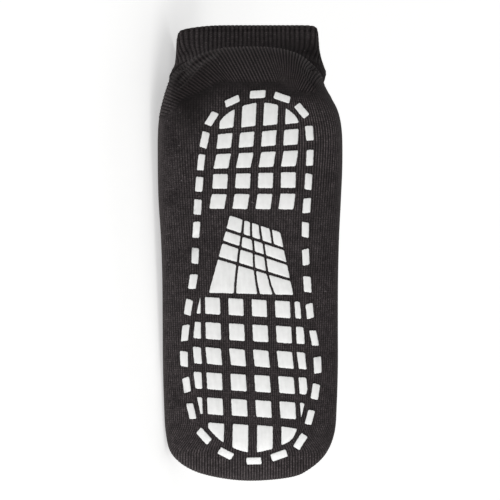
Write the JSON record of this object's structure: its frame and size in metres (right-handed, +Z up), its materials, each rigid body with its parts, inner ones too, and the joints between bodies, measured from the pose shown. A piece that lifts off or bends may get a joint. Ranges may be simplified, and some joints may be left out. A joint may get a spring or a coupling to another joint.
{
  "type": "slipper sock",
  "caption": "Short knit grip sock lying on its outer side, hollow with a ribbed open cuff and raised silicone grips all over its sole.",
  "frame": {"origin": "middle of the bounding box on the floor, under the sock as it lies on its outer side", "axes": "+X towards the toes, +Y from the sole to the instep, +Z up, which is the sock's inner side"},
  "size_m": [0.244, 0.1077, 0.0986],
  "materials": {
    "knit": "charcoal fine knit cotton, matt, slightly napped",
    "silicone": "off-white printed silicone, soft satin"
  },
  "bodies": {
    "root": {"grip_arch_1": "silicone", "grip_arch_2": "silicone", "grip_arch_3": "silicone", "grip_arch_4": "silicone", "grip_forefoot_01": "silicone", "grip_forefoot_02": "silicone", "grip_forefoot_03": "silicone", "grip_forefoot_04": "silicone", "grip_forefoot_05": "silicone", "grip_forefoot_06": "silicone", "grip_forefoot_07": "silicone", "grip_forefoot_08": "silicone", "grip_forefoot_09": "silicone", "grip_forefoot_10": "silicone", "grip_forefoot_11": "silicone", "grip_forefoot_12": "silicone", "grip_forefoot_13": "silicone", "grip_forefoot_14": "silicone", "grip_forefoot_15": "silicone", "grip_forefoot_16": "silicone", "grip_forefoot_17": "silicone", "grip_forefoot_18": "silicone", "grip_forefoot_19": "silicone", "grip_forefoot_20": "silicone", "grip_forefoot_21": "silicone", "grip_forefoot_22": "silicone", "grip_forefoot_23": "silicone", "grip_forefoot_24": "silicone", "grip_forefoot_25": "silicone", "grip_forefoot_26": "silicone", "grip_forefoot_27": "silicone", "grip_forefoot_28": "silicone", "grip_forefoot_29": "silicone", "grip_forefoot_30": "silicone", "grip_forefoot_31": "silicone", "grip_forefoot_32": "silicone", "grip_forefoot_33": "silicone", "grip_forefoot_34": "silicone", "grip_heel_01": "silicone", "grip_heel_02": "silicone", "grip_heel_03": "silicone", "grip_heel_04": "silicone", "grip_heel_05": "silicone", "grip_heel_06": "silicone", "grip_heel_07": "silicone", "grip_heel_08": "silicone", "grip_heel_09": "silicone", "grip_heel_10": "silicone", "grip_heel_11": "silicone", "grip_heel_12": "silicone", "grip_heel_13": "silicone", "grip_heel_14": "silicone", "grip_heel_15": "silicone", "grip_heel_16": "silicone", "grip_heel_17": "silicone", "grip_heel_18": "silicone", "grip_heel_19": "silicone", "grip_heel_20": "silicone", "sock_body": "knit"}
  },
  "joints": []
}
